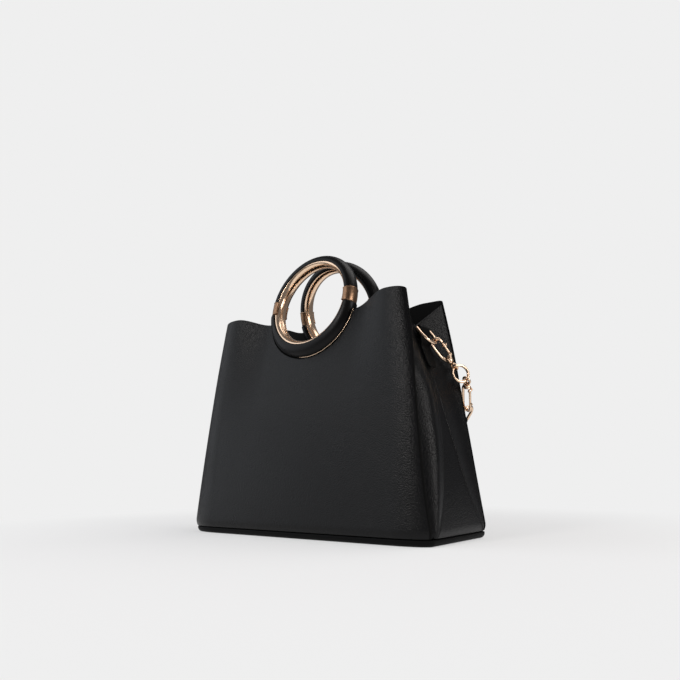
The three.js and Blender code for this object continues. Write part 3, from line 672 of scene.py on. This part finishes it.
def strip_steps(path, wall):
    """Path with the closer steps that a half-round rim needs at its two ends."""
    run = np.concatenate([[0], np.cumsum(np.linalg.norm(np.diff(path, axis=0), axis=1))])
    even = with_rims(run, wall / 2)
    return np.stack([np.interp(even, run, path[:, axis]) for axis in range(3)], -1), even


def in_side_view(turn):
    return math.sin(turn) * X + math.cos(turn) * Z


TAB_LOOP = D_WIRE + GAP + TAB_THICKNESS / 2
SIDE_REACH = in_side_view(np.pi - SIDE_D_SWING)
STRAP_REACH = in_side_view(STRAP_D_LEAN)


def tab():
    """Strip from its rounded low end up the fold, round the D-ring's bar and a short way back behind
    itself. Its width grows from the tip's by a quarter circle."""
    rise = points_of(TAB_OUT, 0, TAB_HEIGHTS)
    over = arc(SIDE_BAR, X, Z, TAB_LOOP, 0, np.pi, 25)
    line = np.concatenate([rise, over, TAB_END[None]])
    path, run = strip_steps(resampled(line, 160, passes=14), TAB_THICKNESS)
    tip = np.sqrt(1 - (1 - np.clip(run / TAB_TAPER, 0, 1)) ** 2)
    return strip(path, lerp(TAB_TIP, TAB_WIDTH, tip) / 2, TAB_THICKNESS)


def d_ring(half_width, bar, reach):
    """D-shaped wire loop: a half circle, two legs, two rounded corners and the bar between them."""
    def at(across, down):
        return bar + across * Y + down * reach
    bow = arc(at(0, D_LEG), Y, reach, half_width, 0, np.pi, 60)
    left = arc(at(D_CORNER - half_width, D_CORNER), Y, reach, D_CORNER, np.pi, 1.5 * np.pi, 12)
    right = arc(at(half_width - D_CORNER, D_CORNER), Y, reach, D_CORNER, 1.5 * np.pi, 2 * np.pi, 12)
    return tube(np.concatenate([bow, left, right]), np.cross(Y, reach), D_WIRE, closed=True)


def hook_point(half_width, bar, reach, turn):
    """Where a hook bears on a D-ring's bow, and the wire's direction there."""
    out = reach * math.cos(turn) + Y * math.sin(turn)
    contact = bar + D_LEG * reach + (half_width - D_WIRE - GAP / 2) * out
    return contact, reach * math.sin(turn) - Y * math.cos(turn)


def placed(parts, origin, along, normal):
    """Parts moved from a link's own frame, whose z is its length and y its flat's normal."""
    z = unit(along)
    x = unit(np.cross(normal, z))
    basis = np.stack([x, np.cross(z, x), z])
    return moved(parts, lambda points: origin + points @ basis)


BARREL_TOP = BARREL_START + BARREL_LENGTH
PIVOT = np.array([-PIVOT_ACROSS, 0, BARREL_TOP + PIVOT_RISE])


def above_barrel(places, depth):
    """Points in a clasp's own frame from pairs of place across and height above the barrel."""
    across, rise = np.transpose(places)
    return points_of(across, depth, BARREL_TOP + rise)


def clasp_body(span):
    """Turned barrel with two grooves, a bent claw that thins to its tip, and a pin held by one ear."""
    nose = span + GAP / 2 + CLAW_WIRE - CLAW_HALF
    wall = [(BARREL_RADIUS - depth, BARREL_START + height) for depth, height in BARREL_PROFILE]
    barrel = lathe([(BORE_RADIUS, BARREL_START), *wall, (BORE_RADIUS, BARREL_TOP)], np.zeros(3), Z, X)
    foot = above_barrel(CLAW_FOOT, 0)
    bend = arc(nose * Z, X, Z, CLAW_HALF, 0, np.pi, 40)
    tip = np.array([[-CLAW_HALF, 0, nose - CLAW_DROP]])
    line = resampled(np.concatenate([foot, bend, tip]), 120, passes=20)
    claw = tube(line, Y, CLAW_WIRE * np.interp(np.linspace(0, 1, len(line)), *CLAW_THIN))
    ear = rod(*above_barrel(EAR_ENDS, EAR), EAR_WIDTH / 2, flatten=EAR_THICKNESS / EAR_WIDTH)
    pin_foot = PIVOT + Y * (EAR + EAR_THICKNESS / 2 + PIN_FOOT)
    pin = rod(pin_foot, PIVOT - Y * PIN_END, PIN_RADIUS, side=X)
    pin_head = [
        (LATHE_CORE, -PIN_HEAD_RISE), (PIN_HEAD * 0.8, -PIN_HEAD_RISE), (PIN_HEAD, -0.1), (PIN_HEAD, 0.2),
        (LATHE_CORE, PIN_HEAD_RISE),
    ]
    beside_gate = PIVOT - Y * (GATE_HALF + GAP + PIN_HEAD_RISE)
    heads = [lathe(pin_head, place, Y, X) for place in (pin_foot, beside_gate)]
    return [barrel, claw, ear, pin, *heads]


def clasp_gate(span):
    """Lever that closes the claw: an eye round the pin, a rod to the claw's tip and a thumb spur."""
    tip = span + GAP / 2 + CLAW_WIRE - CLAW_HALF - CLAW_DROP
    inner = PIN_RADIUS + GAP
    eye = [
        (inner, -GATE_HALF), (GATE_EYE - SMALL_EDGE, -GATE_HALF), (GATE_EYE, -GATE_HALF + SMALL_EDGE),
        (GATE_EYE, GATE_HALF - SMALL_EDGE), (GATE_EYE - SMALL_EDGE, GATE_HALF), (inner, GATE_HALF),
    ]
    foot = PIVOT + Z * (inner + GATE_EYE) / 2
    end = np.array([-CLAW_HALF, 0, tip - GAP])
    thumb = lerp(foot, end, SPUR_SHARE)
    spur = rod(thumb, thumb + np.array([-SPUR, 0, SPUR / 2]), SPUR_WIRE)
    return [lathe(eye, PIVOT, Y, X), rod(foot, end, GATE_WIRE), spur]


def clasp_swivel():
    """Wire eye with a post through the barrel and a round head above it."""
    middle = EYE_RADIUS - EYE_WIRE - GAP / 2
    eye = tube(arc(middle * Z, X, Z, EYE_RADIUS, 0, 2 * np.pi, 65)[:-1], Y, EYE_WIRE, closed=True)
    foot, top = BARREL_TOP + GAP, BARREL_TOP + GAP + HEAD_HEIGHT
    head = [
        (LATHE_CORE, foot), (HEAD_RADIUS - LATHE_CORE, foot), (HEAD_RADIUS, foot + SMALL_EDGE),
        (HEAD_RADIUS * 0.8, top - SMALL_EDGE), (LATHE_CORE, top),
    ]
    return [eye, rod(Z * (middle + EYE_RADIUS), Z * top, POST_RADIUS), lathe(head, np.zeros(3), Z, X)]


def strap():
    """Strip folded round one ring's bar, leaning down, bent upright and along the floor by arcs, and the
    same mirrored."""
    across = in_side_view(STRAP_D_LEAN + np.pi / 2)
    layer = (STRAP_THICKNESS + STRAP_LAYER_GAP) / 2
    loop = D_WIRE + GAP + STRAP_THICKNESS / 2
    floor = STRAP_THICKNESS / 2 + STRAP_LIFT

    def at(aside, up):
        return STRAP_D_BAR + aside * across + up * STRAP_REACH
    around = arc(STRAP_D_BAR, across, STRAP_REACH, loop, *STRAP_WRAP, 30)
    upright = arc(at(layer, -STRAP_OVERLAP) + STRAP_BEND * across, across, STRAP_REACH, STRAP_BEND,
                  np.pi, np.pi + STRAP_D_LEAN, 16)
    low = upright[-1]
    bend_middle = np.array([low[0] - STRAP_BEND, low[1], floor + STRAP_BEND])
    bend = arc(bend_middle, X, Z, STRAP_BEND, 0, -np.pi / 2, 24)
    folded_end = [at(-layer, -STRAP_OVERLAP), at(-layer, -STRAP_PINCH)]
    right = np.concatenate([folded_end, around, [at(layer, -STRAP_PINCH)], upright, bend])
    path = np.concatenate([right, right[::-1] * (-1, 1, 1)])
    path, run = strip_steps(resampled(path, 700, passes=8), STRAP_THICKNESS)
    return strip(path, np.full(len(run), STRAP_WIDTH / 2), STRAP_THICKNESS)


def side_fittings():
    """Every fitting of the right side by its plain name."""
    upper, upper_wire = hook_point(SIDE_D_HALF, SIDE_BAR, SIDE_REACH, HOOK_ANGLE)
    lower, lower_wire = hook_point(STRAP_D_HALF, STRAP_D_BAR, STRAP_REACH, -HOOK_ANGLE)
    flat = unit(O_NORMAL)
    made = {
        "tab": tab(),
        "d_ring": [d_ring(SIDE_D_HALF, SIDE_BAR, SIDE_REACH)],
        "strap_ring": [d_ring(STRAP_D_HALF, STRAP_D_BAR, STRAP_REACH)],
    }
    for name, contact, hook_normal in (("upper", upper, upper_wire), ("lower", lower, -lower_wire)):
        offset = contact - O_CENTRE
        toward = unit(offset - flat * (offset @ flat))
        wire = O_CENTRE + O_RADIUS * toward
        eye = wire - unit(contact - wire) * (O_WIRE + GAP / 2)
        along = contact - eye
        span = np.linalg.norm(along)
        made[f"{name}_clasp_body"] = placed(clasp_body(span), eye, along, hook_normal)
        made[f"{name}_clasp_gate"] = placed(clasp_gate(span), eye, along, hook_normal)
        made[f"{name}_clasp_swivel"] = placed(clasp_swivel(), eye, along, np.cross(flat, toward))
    first = unit(np.cross(flat, Z))
    loop = arc(O_CENTRE, first, np.cross(flat, first), O_RADIUS, 0, 2 * np.pi, 73)[:-1]
    made["o_ring"] = [tube(loop, flat, O_WIRE, closed=True)]
    return made


fittings = side_fittings()
for side, place in (("right", no_change), ("left", other_side)):
    for name, parts in fittings.items():
        finish = ([EDGE_PAINT_AND_SHADE], "grained_leather") if name == "tab" else ([GOLD], "rose_gold")
        body = f"{side}_{name.split('_')[0]}_gate" if name.endswith("gate") else "bag"
        build(f"{side}_{name}", moved(parts, place), *finish, body=body)
build("strap", strap(), [GRAINED], "grained_leather")


# Stage, light and camera

BACKDROP, DIM_ROOM = "#efefef", "#6e6e70"
STAGE_RADIUS, NEAR_RADIUS, FADE_RADIUS = 12.0, 0.55, 0.25  # metres; the floor fades out between the last two
FLOOR_GREY, FLOOR_LIFT = 0.5, 0.53  # what the floor reflects, and its share of the backdrop's own light
# Softboxes: place and size in metres, power in watts. The left one is the front panel's even sheen, the
# front one the glints along its side roll, the right one those on the gusset, and the top one lights the
# floor and the rims.
LIGHT_TARGET = Vector((0, 0, 0.15))
COOL_LIGHT, WARM_LIGHT = (0.95, 0.99, 1.05), (1.03, 1.0, 0.98)
SOFTBOXES = (
    ("left_softbox", (-1.4, -1.05, 0.85), 2.2, 16.0),
    ("right_softbox", (1.55, 0.0, 0.5), 0.6, 7.5),
    ("front_softbox", (-0.15, -1.4, 0.75), 0.35, 6.0),
    ("top_softbox", (0.4, 0.5, 1.5), 1.2, 9.0),
)
# Camera of the photo, found by fitting the bag's corners: place in metres, viewing and up directions
CAMERA_PLACE = (0.44718, -0.53997, 0.06564)
CAMERA_FORWARD = (-0.61050, 0.76701, 0.19745)
CAMERA_UP = (0.13341, -0.14615, 0.98023)
LENS, SENSOR, CLIP_START = 34.115, 36, 0.02


def backdrop(name, points, material):
    """Stage mesh from a grid that wraps round."""
    mesh = bpy.data.meshes.new(name)
    corners, quads, _ = grid(points, wrap_rows=True)
    mesh.from_pydata(corners.tolist(), [], quads.tolist())
    mesh.materials.append(material)
    made = bpy.data.objects.new(name, mesh)
    bpy.context.scene.collection.objects.link(made)
    return made


def studio():
    """Pale round floor that fades into an even backdrop, a ring of floor and a dome that only the camera
    sees, and soft lights in a dim room."""
    world = bpy.data.worlds.new("dim_room")
    world.use_nodes = True
    sky = world.node_tree.nodes["Background"]
    sky.inputs["Color"].default_value = linear(DIM_ROOM)
    sky.inputs["Strength"].default_value = 1.0
    bpy.context.scene.world = world

    turn = np.linspace(0, 2 * np.pi, 64, endpoint=False)[:, None]
    paper, tree = new_material("pale_studio_paper")
    place = add_node(tree, "ShaderNodeTexCoord").outputs["Object"]
    far = add_node(tree, "ShaderNodeVectorMath", {0: place}, operation="LENGTH")
    fade = add_node(tree, "ShaderNodeMapRange", {
        "Value": far.outputs["Value"], "From Min": FADE_RADIUS, "From Max": NEAR_RADIUS,
        "To Min": 0.0, "To Max": 1.0,
    }, interpolation_type="SMOOTHSTEP")
    matt = add_node(tree, "ShaderNodeBsdfDiffuse", {"Color": (FLOOR_GREY, FLOOR_GREY, FLOOR_GREY, 1)})
    lift = add_node(tree, "ShaderNodeEmission", {"Color": linear(BACKDROP), "Strength": FLOOR_LIFT})
    near = add_node(tree, "ShaderNodeAddShader", {0: matt.outputs[0], 1: lift.outputs[0]})
    glow = add_node(tree, "ShaderNodeEmission", {"Color": linear(BACKDROP)})
    mixed = add_node(tree, "ShaderNodeMixShader", {
        0: fade.outputs[0], 1: near.outputs[0], 2: glow.outputs[0],
    })
    add_node(tree, "ShaderNodeOutputMaterial", {"Surface": mixed.outputs[0]})
    spread = NEAR_RADIUS * np.linspace(0, 1, 5)
    backdrop("floor", points_of(spread * np.cos(turn), spread * np.sin(turn), 0), paper)

    wall, tree = new_material("even_backdrop")
    glow = add_node(tree, "ShaderNodeEmission", {"Color": linear(BACKDROP)})
    add_node(tree, "ShaderNodeOutputMaterial", {"Surface": glow.outputs[0]})
    rise = np.linspace(0, np.pi / 2, 24)
    across = np.append(NEAR_RADIUS, STAGE_RADIUS * np.cos(rise))
    height = np.append(0, STAGE_RADIUS * np.sin(rise))
    dome = backdrop("backdrop", points_of(across * np.cos(turn), across * np.sin(turn), height), wall)
    for ray in ("diffuse", "glossy", "transmission", "volume_scatter", "shadow"):
        setattr(dome, f"visible_{ray}", False)

    for name, place, size, watts in SOFTBOXES:
        lamp = bpy.data.lights.new(name, "AREA")
        lamp.size = size
        lamp.energy = watts
        lamp.color = COOL_LIGHT if name == "left_softbox" else WARM_LIGHT
        made = bpy.data.objects.new(name, lamp)
        made.location = place
        made.rotation_euler = (LIGHT_TARGET - Vector(place)).to_track_quat("-Z", "Y").to_euler()
        bpy.context.scene.collection.objects.link(made)


def camera():
    """Camera turned so that it looks forward with its top along the up direction."""
    forward = Vector(CAMERA_FORWARD).normalized()
    right = forward.cross(Vector(CAMERA_UP)).normalized()
    made = bpy.data.objects.new("camera", bpy.data.cameras.new("camera"))
    made.data.sensor_width = SENSOR
    made.data.lens = LENS
    made.data.clip_start = CLIP_START
    made.matrix_world = Matrix((right, right.cross(forward), -forward)).transposed().to_4x4()
    made.location = CAMERA_PLACE
    bpy.context.scene.collection.objects.link(made)
    bpy.context.scene.camera = made


studio()
camera()
bpy.context.scene.view_settings.view_transform = "Standard"
